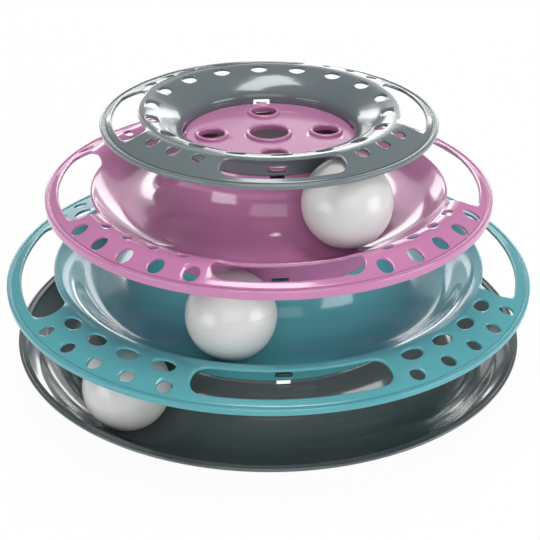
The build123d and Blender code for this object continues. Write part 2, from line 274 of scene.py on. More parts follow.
@dataclass(frozen=True)
class RoundHole:
    """Round or oval hole in a brim; the angle is from the front, positive to the right."""

    FEW_POINTS = 40
    EVENNESS = 0.7

    radius: float
    angle: float
    radial: float
    across: float

    def reach(self) -> tuple[float, float, float]:
        """Lowest radius, highest radius and half angle that the hole takes."""
        side = asin(self.across / 2 / self.radius)
        return self.radius - self.radial / 2, self.radius + self.radial / 2, side

    def place(self, radii: np.ndarray, turns: np.ndarray) -> tuple[np.ndarray, np.ndarray]:
        """Spread a loop of points on the hole's edge, more evenly where there are few.

        Args:
            radii: Radii of the loop's points.
            turns: Their angles from the hole's middle.

        Returns:
            New radii and new angles.
        """
        along = (radii * np.cos(turns) - self.radius) / self.radial
        side = radii * np.sin(turns) / self.across
        angles = np.unwrap(np.arctan2(side, along))
        sense = 1.0 if angles[-1] > angles[0] else -1.0
        steps = sense * 2 * pi * np.arange(len(angles)) / len(angles)
        evenness = self.EVENNESS if len(angles) < self.FEW_POINTS else 0.0
        angles += evenness * (np.mean(angles - steps) + steps - angles)
        x = self.radius + self.radial / 2 * np.cos(angles)
        y = self.across / 2 * np.sin(angles)
        return np.hypot(x, y), np.arctan2(y, x)


@dataclass(frozen=True)
class CurvedSlot:
    """Slot along a brim with rounded ends; the angle is from the front, positive to the right."""

    CAP_POINTS = 24
    PIVOT = 0.2

    inner: float
    outer: float
    angle: float
    half_angle: float
    corner: float

    @property
    def radius(self) -> float:
        """Radius of the slot's middle line."""
        return (self.inner + self.outer) / 2

    def reach(self) -> tuple[float, float, float]:
        """Lowest radius, highest radius and half angle that the slot takes."""
        return self.inner, self.outer, radians(self.half_angle)

    def end_cap(self) -> np.ndarray:
        """Rounded end of the slot, from the inner to the outer edge.

        Returns:
            Points as radius and distance from the end.
        """
        turn = np.linspace(0.0, pi / 2, self.CAP_POINTS)
        low = np.stack([self.inner + self.corner * (1 - np.cos(turn)), self.corner * (1 - np.sin(turn))], 1)
        high = np.stack([self.outer - self.corner * (1 - np.sin(turn)), self.corner * (1 - np.cos(turn))], 1)
        return np.concatenate([low, high])

    def place(self, radii: np.ndarray, turns: np.ndarray) -> tuple[np.ndarray, np.ndarray]:
        """Spread a loop of points on the slot's edge: the long sides keep their angles.

        Args:
            radii: Radii of the loop's points.
            turns: Their angles from the slot's middle.

        Returns:
            New radii and new angles.
        """
        cap = self.end_cap()
        lengths = np.concatenate([[0.0], np.cumsum(np.hypot(*np.diff(cap, axis=0).T))])
        straight = radians(self.half_angle) - self.corner / self.inner
        new_radii = np.where(radii < self.radius, self.inner, self.outer)
        new_turns = turns.copy()
        for side in (-1.0, 1.0):
            chain = np.flatnonzero(turns * side > straight)
            order = np.argsort(self.chain_place(radii[chain], turns[chain] * side))
            share = (np.arange(len(chain)) + 1) / (len(chain) + 1) * lengths[-1]
            cap_radii = np.interp(share, lengths, cap[:, 0])
            cap_gaps = np.interp(share, lengths, cap[:, 1])
            new_radii[chain[order]] = cap_radii
            new_turns[chain[order]] = side * (radians(self.half_angle) - cap_gaps / cap_radii)
        return new_radii, new_turns

    def chain_place(self, radii: np.ndarray, turns: np.ndarray) -> np.ndarray:
        """Order of an end's points on the way from the inner to the outer edge."""
        return np.arctan2(radii - self.radius, (turns - radians(self.half_angle) + self.PIVOT) * self.radius)


Opening = RoundHole | CurvedSlot


class Skin:
    """Open skin of a moulded shell, spun from a line, then cut and given its wall."""

    SLACK = 0.01
    MARGIN = 0.3
    INSET = 0.1
    REACH = 1.0
    SHARP_ANGLE = 50.0

    def __init__(self, name: str, line: Line, wall: float, facing: Facing = Facing.UP) -> None:
        """Spin the skin.

        Args:
            name: Name of the object.
            line: Line of points that is spun.
            wall: Wall thickness, behind the skin.
            facing: Side that the skin shows.
        """
        self.line = line
        self.wall = wall
        self.obj = Bench.lathe(name, line, closed=False, facing=facing)

    def surface(self, low: float, high: float) -> tuple[np.ndarray, np.ndarray]:
        """Radii and heights of the part of the line from the last point at or inside the lowest radius, as
        far as the radii keep rising.

        Args:
            low: Lowest radius.
            high: Highest radius; not used.

        Returns:
            Rising radii and their heights.
        """
        start = max(index for index, point in enumerate(self.line) if point[0] <= low)
        part = self.line[start:]
        radii = np.array([point[0] for point in part])
        heights = np.array([point[1] for point in part])
        falling = np.flatnonzero(np.diff(radii) <= 0)
        stop = len(radii) if len(falling) == 0 else falling[0] + 1
        return radii[:stop], heights[:stop]

    def notch(self, centre_angle: float, half_width: float, low: tuple[float, float],
              high: tuple[float, float]) -> None:
        """Open a window through the skin.

        Args:
            centre_angle: Angle of its middle from the front, in degrees.
            half_width: Half of its width round the axis.
            low: Lowest radius and height of the faces that go.
            high: Highest radius and height of them.
        """
        mesh = self.obj.data
        places = np.empty(len(mesh.vertices) * 3)
        mesh.vertices.foreach_get("co", places)
        places = places.reshape(-1, 3)
        radii, angles, heights = polar(places)
        turns = wrapped(angles - FRONT - radians(centre_angle))
        inside = (radii > low[0] - self.SLACK) & (radii < high[0] + self.SLACK)
        inside &= (heights > low[1] - self.SLACK) & (heights < high[1] + self.SLACK)
        half_angle = half_width / ((low[0] + high[0]) / 2)
        edge = np.round(half_angle / TURN_STEP) * TURN_STEP
        for side in (-1.0, 1.0):
            moved = inside & (np.abs(turns - side * edge) < TURN_STEP / 4)
            angle = FRONT + radians(centre_angle) + side * half_angle
            places[moved, 0] = radii[moved] * cos(angle) * MM
            places[moved, 1] = radii[moved] * sin(angle) * MM
        mesh.vertices.foreach_set("co", places.ravel())
        radii, angles, heights = polar(Bench.face_centres(self.obj))
        turns = wrapped(angles - FRONT - radians(centre_angle))
        chosen = (np.abs(turns) < half_angle) & (radii > low[0] - 2 * self.SLACK)
        chosen &= (radii < high[0] + self.SLACK) & (heights > low[1]) & (heights < high[1] + self.SLACK)
        Bench.select_faces(self.obj, chosen)
        bpy.ops.mesh.delete(type="FACE")
        bpy.ops.object.mode_set(mode="OBJECT")

    def cut(self, openings: list[Opening]) -> None:
        """Cut holes and slots: inset a block of faces for each, shape its edge, and take the middle out.

        Args:
            openings: Holes and slots to cut.
        """
        radii, angles, _ = polar(Bench.face_centres(self.obj))
        chosen = np.zeros(len(radii), dtype=bool)
        for opening in openings:
            low, high, half = opening.reach()
            rows, _ = self.surface(low - 3 * self.MARGIN, high + 3 * self.MARGIN)
            inner = rows[rows <= low - self.MARGIN].max()
            outer = rows[rows >= high + self.MARGIN].min()
            middle = FRONT + radians(opening.angle)
            side = half + self.MARGIN / opening.radius
            first = np.floor((middle - side) / TURN_STEP) * TURN_STEP
            last = np.ceil((middle + side) / TURN_STEP) * TURN_STEP
            turns = (angles - first) % (2 * pi)
            chosen |= (radii > inner) & (radii < outer) & (turns < last - first)
        Bench.select_faces(self.obj, chosen)
        bpy.ops.mesh.inset(thickness=self.INSET * MM, use_even_offset=False)
        self.shape_edges(openings)
        bpy.ops.mesh.delete(type="FACE")
        bpy.ops.object.mode_set(mode="OBJECT")

    def shape_edges(self, openings: list[Opening]) -> None:
        """Move the edge of each selected block of faces onto the edge of its opening.

        Args:
            openings: Openings that the blocks lie round.
        """
        form = bmesh.from_edit_mesh(self.obj.data)
        left = {face for face in form.faces if face.select}
        while left:
            island = [left.pop()]
            for face in island:
                for edge in face.edges:
                    for other in edge.link_faces:
                        if other in left:
                            left.remove(other)
                            island.append(other)
            members = set(island)
            rim = {}
            for face in island:
                for loop in face.loops:
                    if sum(other in members for other in loop.edge.link_faces) == 1:
                        rim[loop.vert] = loop.link_loop_next.vert
            chain = [next(iter(rim))]
            while len(chain) < len(rim):
                chain.append(rim[chain[-1]])
            self.shape_edge(chain, openings)
        bmesh.update_edit_mesh(self.obj.data)

    def shape_edge(self, chain: list[bmesh.types.BMVert], openings: list[Opening]) -> None:
        """Move one closed chain of points onto the edge of the opening that it lies round.

        Args:
            chain: Points of the chain, in order.
            openings: Openings to choose from.
        """
        middle = sum((vert.co for vert in chain), Vector()) / len(chain)
        at_angle = atan2(middle.y, middle.x) - FRONT
        radii = np.array([hypot(vert.co.x, vert.co.y) for vert in chain]) / MM
        at_radius = float(radii.mean())

        def distance(opening: Opening) -> float:
            """How far an opening's middle is from the chain's middle."""
            turn = wrapped(at_angle - radians(opening.angle))
            return hypot(turn * opening.radius, at_radius - opening.radius)

        opening = min(openings, key=distance)
        angles = np.array([atan2(vert.co.y, vert.co.x) for vert in chain])
        turns = wrapped(angles - FRONT - radians(opening.angle))
        radii, turns = opening.place(radii, turns)
        low, high, _ = opening.reach()
        rows, heights = self.surface(low - self.REACH, high + self.REACH)
        for vert, radius, turn in zip(chain, radii, turns):
            angle = FRONT + radians(opening.angle) + turn
            height = np.interp(radius, rows, heights)
            vert.co = Vector((radius * cos(angle), radius * sin(angle), height)) * MM

    def thicken(self, edge_round: float) -> Object:
        """Give the skin its wall and round its edges.

        Args:
            edge_round: Width of the rounding at sharp edges.

        Returns:
            The finished object.
        """
        Bench.modify(self.obj, "SOLIDIFY", thickness=self.wall * MM, offset=-1.0, use_even_offset=True,
                     use_rim=True)
        Bench.modify(self.obj, "BEVEL", width=edge_round * MM, segments=2, limit_method="ANGLE",
                     angle_limit=radians(self.SHARP_ANGLE), use_clamp_overlap=False)
        return self.obj


@dataclass
class Lip:
    """Rounded bead round the edge of a shell, behind a fine groove."""

    rim: float
    low: float
    height: float
    width: float = 2.0
    groove: float = 0.4
    groove_depth: float = 0.35
    tongue: float = 2.0
    tongue_wall: float = 0.3
    inner_round: float = 0.5
    outer_round: float = 0.6
    under_round: float = 0.3
    pitch: float = 2.0

    def build(self, name: str) -> Object:
        """Spin the bead and the tongue that closes the bottom of the groove.

        Args:
            name: Name of the object.

        Returns:
            The lip.
        """
        top = self.low + self.height
        shelf = top - self.groove_depth
        inner = self.rim - self.width
        points = [(inner - self.tongue, shelf), (inner, shelf), (inner, top), (self.rim, top),
                  (self.rim, self.low), (inner, self.low), (inner - self.tongue, shelf - self.tongue_wall)]
        fillets = [0.0, self.inner_round, self.outer_round, self.under_round, self.under_round]
        return Bench.lathe(name, rounded_line(points, fillets, [self.pitch]), closed=True)

    def skin_end(self, slope: float, step: float) -> tuple[float, float]:
        """Radius and height where a skin of a given slope ends, a step under the lip's top."""
        fall = tan(radians(slope)) * self.groove
        return self.rim - self.width - self.groove, self.low + self.height - step + fall


@dataclass
class SnapJoint:
    """Snap joint between a hub and the collar on it."""

    shoulder_width: float = 2.0
    spigot_height: float = 3.2
    collar_wall: float = 1.6
    collar_gap: float = 0.25
    window_half_width: float = 3.9
    window_low: float = 1.7
    window_high: float = 4.9
    nose: tuple[float, float, float] = (3.3, 5.6, 1.2)
    shutoff_half_width: float = 3.1
    shutoff_depth: float = 2.2
    angles: tuple[float, ...] = (0.0, 90.0, 180.0, 270.0)
    nose_round: float = 0.3
    collar_round: float = 0.2
    collar_pitch: float = 3.2

    def noses(self, spigot: float, top: float) -> list[Object]:
        """Small rounded noses round a spigot.

        Args:
            spigot: Radius of the spigot.
            top: Height of its top.

        Returns:
            The noses, one object each.
        """
        pieces = []
        for angle in self.angles:
            bpy.ops.object.select_all(action="DESELECT")
            bpy.ops.mesh.primitive_cube_add(size=1.0)
            piece = bpy.context.active_object
            turn = FRONT + radians(angle)
            size = Matrix.Diagonal((self.nose[0] * MM, self.nose[1] * MM, self.nose[2] * MM, 1.0))
            spot = Vector((spigot * cos(turn), spigot * sin(turn), top - self.nose[2] / 2)) * MM
            piece.matrix_world = Matrix.Translation(spot) @ Matrix.Rotation(turn, 4, "Z") @ size
            bpy.ops.object.transform_apply(location=True, rotation=True, scale=True)
            Bench.modify(piece, "BEVEL", width=self.nose_round * MM, segments=3)
            pieces.append(piece)
        return pieces

    def collar(self, name: str, spigot: float, low: float, high: float) -> Object:
        """Collar with its windows.

        Args:
            name: Name of the object.
            spigot: Radius of the spigot that it goes over.
            low: Height of its lower edge.
            high: Height where it runs into the track above.

        Returns:
            The collar.
        """
        outer = spigot + self.collar_gap + self.collar_wall
        points = [(outer, low), (outer, low + self.window_low), (outer, low + self.window_high),
                  (outer, high)]
        skin = Skin(name, rounded_line(points, [0.0, 0.0], [self.collar_pitch]), self.collar_wall, Facing.OUT)
        for angle in self.angles:
            skin.notch(angle, self.window_half_width, (outer, low + self.window_low),
                       (outer, low + self.window_high))
        return skin.thicken(self.collar_round)


@dataclass
class HoleRow:
    """Row of equal holes on each of the four lands between the slots."""

    radius: float
    count: int
    step: float
    radial: float
    across: float

    def holes(self, land: float) -> list[RoundHole]:
        """Holes of the row.

        Args:
            land: Angle from the front to the middle of a land.

        Returns:
            All holes on the four lands.
        """
        angles = [centre + self.step * (index - (self.count - 1) / 2)
                  for centre in (land, 180.0 - land, 180.0 + land, -land) for index in range(self.count)]
        return [RoundHole(self.radius, angle, self.radial, self.across) for angle in angles]


@dataclass
class Brim:
    """Slots and holes of a brim."""

    slot_inner: float
    slot_outer: float
    front_half_angle: float
    side_half_angle: float
    rows: list[HoleRow]
    corner_share: float = 0.47

    def openings(self) -> list[Opening]:
        """Slots and holes of the brim.

        Returns:
            All of them, the slots first.
        """
        corner = (self.slot_outer - self.slot_inner) * self.corner_share
        half_angles = (self.front_half_angle, self.side_half_angle)
        slots = [CurvedSlot(self.slot_inner, self.slot_outer, 90.0 * index, half_angles[index % 2], corner)
                 for index in range(4)]
        land = (self.front_half_angle + 90.0 - self.side_half_angle) / 2
        return slots + [hole for row in self.rows for hole in row.holes(land)]


@dataclass
class Tier:
    """Moulded tier: hub, ring track, bowl, crest and, where it has one, a brim with openings."""

    name: str
    slot: str
    hub: float
    shoulder: float
    floor: float
    path: float
    crest: tuple[float, float]
    crest_round: float
    rim: float
    rim_low: float
    rim_height: float
    brim_angle: float
    bowl_angle: float
    hub_inside: float
    brim: Brim | None = None
    stands_on: "Tier | None" = None
    wall: float = 1.5
    taper: float = 3.0
    bowl_round: float = 60.0
    fillet_share: float = 0.98
    step: float = 0.2
    pitch: float = 2.4
    brim_pitch: float = 0.9
    lip_width: float = 2.0
    foot_drop: float = 5.0
    collar_sink: float = 0.7
    joint: SnapJoint = field(default_factory=SnapJoint)
    lip: Lip = field(init=False)

    def __post_init__(self) -> None:
        """Make the lip that belongs to the rim."""
        self.lip = Lip(self.rim, self.rim_low, self.rim_height, self.lip_width)

    @property
    def spigot(self) -> float:
        """Radius of the spigot on the hub."""
        return self.hub - self.joint.shoulder_width

    @property
    def spigot_top(self) -> float:
        """Height of the spigot's top."""
        return self.shoulder + self.joint.spigot_height

    @property
    def notch_foot(self) -> tuple[float, float]:
        """Radius and height of the lower edge of the notches in the hub."""
        depth = self.joint.shutoff_depth
        return self.hub + depth * tan(radians(self.taper)), self.shoulder - depth

    def track_line(self) -> tuple[Line, list[float]]:
        """Corner points and fillets from the hub's top to the groove at the lip.

        Returns:
            Points, and the fillet at each point between the ends.
        """
        hub_foot = self.hub + (self.shoulder - self.floor) * tan(radians(self.taper))
        hub_fillet = (self.path - hub_foot) / tan(radians(90.0 - self.taper) / 2)
        rise = self.crest[1] - self.floor
        bowl_foot = self.crest[0] - rise / tan(radians(self.bowl_angle))
        rounding = self.crest_round * tan(radians(self.bowl_angle + self.brim_angle) / 2)
        wall_length = rise / sin(radians(self.bowl_angle)) - rounding
        bowl_fillet = min(bowl_foot - self.path, wall_length) / tan(radians(self.bowl_angle) / 2)
        points = [(self.hub_inside, self.spigot_top), (self.spigot, self.spigot_top),
                  (self.spigot, self.shoulder), (self.hub, self.shoulder), self.notch_foot,
                  (hub_foot, self.floor), (bowl_foot, self.floor), self.crest,
                  self.lip.skin_end(self.brim_angle, self.step)]
        fillets = [0.0, 0.0, 0.0, 0.0, hub_fillet * self.fillet_share,
                   min(bowl_fillet * self.fillet_share, self.bowl_round), self.crest_round]
        return points, fillets

    def build(self) -> Object:
        """Build the shell with its lip, noses and collar.

        Returns:
            The finished object.
        """
        points, fillets = self.track_line()
        pitches = [self.pitch] * (len(points) - 2) + [self.brim_pitch if self.brim else self.pitch]
        skin = Skin(f"{self.name}_skin", rounded_line(points, fillets, pitches), self.wall)
        notch_radius, notch_low = self.notch_foot
        for angle in self.joint.angles:
            skin.notch(angle, self.joint.shutoff_half_width, (self.spigot, notch_low),
                       (notch_radius, self.shoulder))
        openings = self.extra_openings()
        if self.brim:
            openings = openings + self.brim.openings()
        if openings:
            skin.cut(openings)
        pieces = [skin.thicken(EDGE_ROUND), self.lip.build(f"{self.name}_lip")]
        pieces += self.joint.noses(self.spigot, self.spigot_top)
        if self.stands_on:
            below = self.stands_on
            pieces.append(self.joint.collar(f"{self.name}_collar", below.spigot, below.shoulder,
                                            self.collar_top(below.spigot)))
        pieces += self.extra_pieces()
        return Bench.join(f"{self.name}_shell", pieces)

    def collar_top(self, spigot: float) -> float:
        """Height in the wall where the collar over a spigot runs into the foot of the hub.

        Args:
            spigot: Radius of the spigot under the collar.

        Returns:
            The height.
        """
        outer = spigot + self.joint.collar_gap + self.joint.collar_wall
        points, fillets = self.track_line()
        line = rounded_line(points, fillets, [self.pitch])
        highest = self.shoulder - self.foot_drop
        near = [point for point in line if self.hub < point[0] <= self.path and point[1] < highest]
        radii = [point[0] for point in near]
        heights = [point[1] for point in near]
        return float(np.interp(outer, radii, heights)) - self.wall * self.collar_sink

    def extra_openings(self) -> list[Opening]:
        """Openings beside those of the brim; a plain tier has none."""
        return []

    def extra_pieces(self) -> list[Object]:
        """Pieces that only some tiers have; a plain tier has none."""
        return []


@dataclass
class DiscTier(Tier):
    """Tier whose hub is closed by a disc with rimmed holes."""

    centre_hole: float = 8.7
    centre_rim: float = 10.8
    small_hole: float = 5.75
    small_rim: float = 7.95
    pitch_radius: float = 26.3
    rim_rise: float = 1.2
    rim_round: float = 0.95
    rim_pitch: float = 0.8
    rim_steps: int = 96

    def extra_openings(self) -> list[Opening]:
        """Four round holes in the disc."""
        width = self.small_hole + self.small_rim
        return [RoundHole(self.pitch_radius, angle, width, width) for angle in self.joint.angles]

    def extra_pieces(self) -> list[Object]:
        """Rounded rims of the disc's holes.

        Returns:
            The rims, one object each.
        """
        spots = [((0.0, 0.0), self.centre_hole, self.centre_rim)]
        for angle in self.joint.angles:
            turn = FRONT + radians(angle)
            spot = (self.pitch_radius * cos(turn), self.pitch_radius * sin(turn))
            spots.append((spot, self.small_hole, self.small_rim))
        low = self.spigot_top - self.wall
        high = self.spigot_top + self.rim_rise
        pieces = []
        for index, (spot, hole, rim) in enumerate(spots):
            points = [(hole, low), (hole, high), (rim, high), (rim, low)]
            line = rounded_line(points, [self.rim_round, self.rim_round], [self.rim_pitch])
            pieces.append(Bench.lathe(f"{self.name}_rim_{index}", line, closed=True, steps=self.rim_steps,
                                      centre=spot))
        return pieces


@dataclass
class BaseTray(Tier):
    """Dished base with the seats of the feet under it."""

    foot_angles: tuple[float, ...] = (45.0, 135.0, 225.0, 315.0)
    seat_radius: float = 8.6
    seat_bore: float = 7.1
    seat_low: float = 1.2
    seat_roof: float = 2.6
    bore_round: float = 0.2
    seat_round: float = 0.3
    seat_pitch: float = 1.0
    seat_steps: int = 64

    def foot_spots(self) -> list[tuple[float, float]]:
        """Places of the four feet."""
        turns = [radians(angle) for angle in self.foot_angles]
        return [(self.path * cos(turn), self.path * sin(turn)) for turn in turns]

    def extra_pieces(self) -> list[Object]:
        """Round seats of the four feet.

        Returns:
            The seats, one object each.
        """
        high = self.floor - self.wall / 2
        points = [(0.0, self.seat_roof), (self.seat_bore, self.seat_roof), (self.seat_bore, self.seat_low),
                  (self.seat_radius, self.seat_low), (self.seat_radius, high), (0.0, high)]
        fillets = [self.bore_round, self.seat_round, self.seat_round, 0.0]
        line = rounded_line(points, fillets, [self.seat_pitch])
        return [Bench.lathe(f"foot_seat_{index}", line, closed=False, facing=Facing.OUT,
                            steps=self.seat_steps, centre=spot)
                for index, spot in enumerate(self.foot_spots(), 1)]


@dataclass
class TopRing:
    """Funnel ring on top: collar, funnel, evenly curved crest and brim."""

    name: str = "top_ring"
    slot: str = "grey_plastic"
    bore: float = 39.45
    low: float = 113.2
    throat: float = 120.3
    throat_round: float = 5.0
    waist: tuple[float, float] = (43.5, 124.2)
    waist_round: float = 24.0
    crest_inner: float = 53.4
    crest_inner_round: float = 26.0
    crest_outer_round: float = 14.0
    crest_outer: float = 63.15
    crest_height: float = 129.64
    rim: float = 76.95
    rim_low: float = 122.9
    rim_height: float = 2.0
    brim_angle: float = 22.8
    wall: float = 1.5
    step: float = 0.2
    hole_circle: float = 53.8
    hole_count: int = 18
    hole_radial: float = 5.5
    hole_across: float = 8.2
    funnel_pitch: float = 1.1
    crest_pitch: float = 0.6
    brim_pitch: float = 0.9
    joint: SnapJoint = field(default_factory=SnapJoint)
    brim: Brim = field(default_factory=lambda: Brim(
        slot_inner=59.65, slot_outer=71.65, front_half_angle=22.9, side_half_angle=24.4,
        rows=[HoleRow(radius=64.25, count=3, step=11.95, radial=5.8, across=5.8)]))

    def build(self) -> Object:
        """Build the ring with its lip.

        Returns:
            The finished object.
        """
        lip = Lip(self.rim, self.rim_low, self.rim_height)
        window_low = (self.bore, self.low + self.joint.window_low)
        window_high = (self.bore, self.low + self.joint.window_high)
        points = [(self.bore, self.low), window_low, window_high, (self.bore, self.throat), self.waist,
                  (self.crest_inner, self.crest_height), (self.crest_outer, self.crest_height),
                  lip.skin_end(self.brim_angle, self.step)]
        fillets = [0.0, 0.0, self.throat_round, self.waist_round, self.crest_inner_round,
                   self.crest_outer_round]
        pitches = [self.funnel_pitch] * (len(points) - 3) + [self.crest_pitch, self.brim_pitch]
        skin = Skin(f"{self.name}_skin", rounded_line(points, fillets, pitches), self.wall)
        for angle in self.joint.angles:
            skin.notch(angle, self.joint.window_half_width, window_low, window_high)
        turn = 360.0 / self.hole_count
        holes = [RoundHole(self.hole_circle, turn * index, self.hole_radial, self.hole_across)
                 for index in range(self.hole_count)]
        skin.cut(self.brim.openings() + holes)
        return Bench.join(f"{self.name}_shell", [skin.thicken(EDGE_ROUND), lip.build(f"{self.name}_lip")])


@dataclass
class Ball:
    """Hollow ball of two half shells that meet in a fine seam."""

    radius: float = 19.75
    wall: float = 1.5
    lap_height: float = 1.6
    lap: float = 0.7
    lap_gap: float = 0.05
    seam: float = 0.14
    arc_points: int = 48
    hollow_points: int = 32
    steps: int = 144

    def arc(self, radius: float, start: float, end: float, count: int) -> Line:
        """Points on a circle round the ball's middle, between two angles from the level of the seam."""
        angles = np.linspace(start, end, count)
        return [(float(radius * cos(angle)), float(radius * sin(angle))) for angle in angles]

    def halves(self) -> dict[str, Object]:
        """Make the two halves round the origin, with the seam level.

        Returns:
            The halves by name.
        """
        inside = self.radius - self.wall
        tongue = inside + self.lap
        lift = self.seam / self.radius
        outer = self.arc(self.radius, pi / 2, lift, self.arc_points)
        outer[0] = (0.0, self.radius)
        hollow_top = asin((self.lap_height + self.lap_gap) / inside)
        inner = self.arc(inside, hollow_top, pi / 2, self.hollow_points)
        inner[-1] = (0.0, inside)
        rebate = tongue + self.lap_gap
        top = outer + [(self.radius - self.seam, 0.0), (rebate, 0.0)]
        top += [(rebate, self.lap_height + self.lap_gap)] + inner
        deep = self.arc(inside, 0.0, -pi / 2, self.hollow_points)
        deep[-1] = (0.0, -inside)
        bottom = [(radius, -height) for radius, height in outer] + [(self.radius - self.seam, 0.0)]
        bottom += [(tongue, 0.0), (tongue, self.lap_height), (inside, self.lap_height)] + deep
        return {half: Bench.lathe(f"ball_{half}", line, closed=False, facing=Facing.OUT, steps=self.steps)
                for half, line in (("top_half", top), ("bottom_half", bottom))}

    def place(self, half: Object, name: str, middle: Vector, normal: Vector) -> Object:
        """Copy a half to its place.

        Args:
            half: Half round the origin.
            name: Name of the copy.
            middle: Middle of the ball, in millimetres.
            normal: Way that the seam's normal leans.

        Returns:
            The copy, with its place in its mesh.
        """
        Bench.take(half)
        bpy.ops.object.duplicate(linked=False)
        copy = bpy.context.active_object
        copy.name = name
        copy.data.name = name
        turn = normal.normalized().to_track_quat("Z", "Y").to_matrix().to_4x4()
        copy.matrix_world = Matrix.Translation(middle * MM) @ turn
        bpy.ops.object.transform_apply(location=True, rotation=True, scale=True)
        return copy


@dataclass
class Foot:
    """Round rubber foot with a shallow hollow under it."""

    radius: float = 7.0
    height: float = 2.6
    hollow_depth: float = 0.35
    hollow_inner: float = 4.3
    hollow_outer: float = 4.9
    hollow_round: float = 0.6
    ring_round: float = 0.3
    edge_round: float = 0.6
    top_round: float = 0.2
    pitch: float = 0.7
    steps: int = 72

    def build(self, name: str, spot: tuple[float, float]) -> Object:
        """Build the foot.

        Args:
            name: Name of the object.
            spot: Place of its middle.

        Returns:
            The finished foot.
        """
        points = [(0.0, self.hollow_depth), (self.hollow_inner, self.hollow_depth), (self.hollow_outer, 0.0),
                  (self.radius, 0.0), (self.radius, self.height), (0.0, self.height)]
        fillets = [self.hollow_round, self.ring_round, self.edge_round, self.top_round]
        line = rounded_line(points, fillets, [self.pitch])
        return Bench.lathe(name, line, closed=False, facing=Facing.OUT, steps=self.steps, centre=spot)


class NodeShop:
    """Makes shader nodes and their links."""

    def __init__(self, tree: Tree) -> None:
        """Keep the tree that the nodes go into."""
        self.tree = tree

    def add(self, kind: str, **settings: object) -> Node:
        """Add a node and set its properties.

        Args:
            kind: Blender's name of the node type.
            **settings: Values for the node's own properties.

        Returns:
            The new node.
        """
        node = self.tree.nodes.new(kind)
        for name, value in settings.items():
            setattr(node, name, value)
        return node

    def link(self, output: Socket, target: Socket) -> None:
        """Link an output to an input."""
        self.tree.links.new(output, target)

    @staticmethod
    def give(node: Node, values: dict[str, object]) -> None:
        """Set inputs of a node by their names."""
        for name, value in values.items():
            node.inputs[name].default_value = value

    def noise(self, coords: Socket, scale: float, detail: float, rough: float = 0.5) -> Socket:
        """Add a noise texture.

        Args:
            coords: Coordinates that it lies on.
            scale: Its scale.
            detail: Its levels of detail.
            rough: Weight of the finer levels.

        Returns:
            Its value.
        """
        node = self.add("ShaderNodeTexNoise")
        self.give(node, {"Scale": scale, "Detail": detail, "Roughness": rough})
        self.link(coords, node.inputs["Vector"])
        return node.outputs["Fac"]

    def remap(self, value: Socket, old: tuple[float, float], new: tuple[float, float] = (0.0, 1.0)) -> Socket:
        """Add a clamped change of range.

        Args:
            value: Value to change.
            old: Range that it comes in.
            new: Range that it goes to.

        Returns:
            The changed value.
        """
        node = self.add("ShaderNodeMapRange", clamp=True)
        self.give(node, {"From Min": old[0], "From Max": old[1], "To Min": new[0], "To Max": new[1]})
        self.link(value, node.inputs["Value"])
        return node.outputs["Result"]

    def math(self, operation: str, first: Socket, second: Socket | float) -> Socket:
        """Add a sum or a product, or choose the larger of two values.

        Args:
            operation: Blender's name of the operation.
            first: First value.
            second: Second value.

        Returns:
            The result.
        """
        node = self.add("ShaderNodeMath", operation=operation)
        self.link(first, node.inputs[0])
        if isinstance(second, float):
            node.inputs[1].default_value = second
        else:
            self.link(second, node.inputs[1])
        return node.outputs[0]

    def blend(self, share: Socket, first: Socket | tuple, second: Socket | tuple) -> Socket:
        """Add a blend of two colours.

        Args:
            share: Share of the second colour.
            first: First colour.
            second: Second colour.

        Returns:
            The blended colour.
        """
        node = self.add("ShaderNodeMix", data_type="RGBA")
        self.link(share, node.inputs["Factor"])
        for name, colour in (("A", first), ("B", second)):
            if isinstance(colour, tuple):
                node.inputs[name].default_value = colour
            else:
                self.link(colour, node.inputs[name])
        return node.outputs["Result"]

    def bump(self, shader: Node, height: Socket, strength: float, distance: float) -> None:
        """Put a bump on a shader.

        Args:
            shader: Shader that gets it.
            height: Height of the bump.
            strength: Its strength.
            distance: Its depth, in metres.
        """
        node = self.add("ShaderNodeBump")
        self.give(node, {"Strength": strength, "Distance": distance})
        self.link(height, node.inputs["Height"])
        self.link(node.outputs["Normal"], shader.inputs["Normal"])


def new_material(name: str) -> tuple[bpy.types.Material, NodeShop, Node]:
    """Make a plain material.

    Args:
        name: Name of the material.

    Returns:
        The material, a shop for its nodes, and its shader.
    """
    material = bpy.data.materials.new(name)
    material.use_nodes = True
    return material, NodeShop(material.node_tree), material.node_tree.nodes["Principled BSDF"]


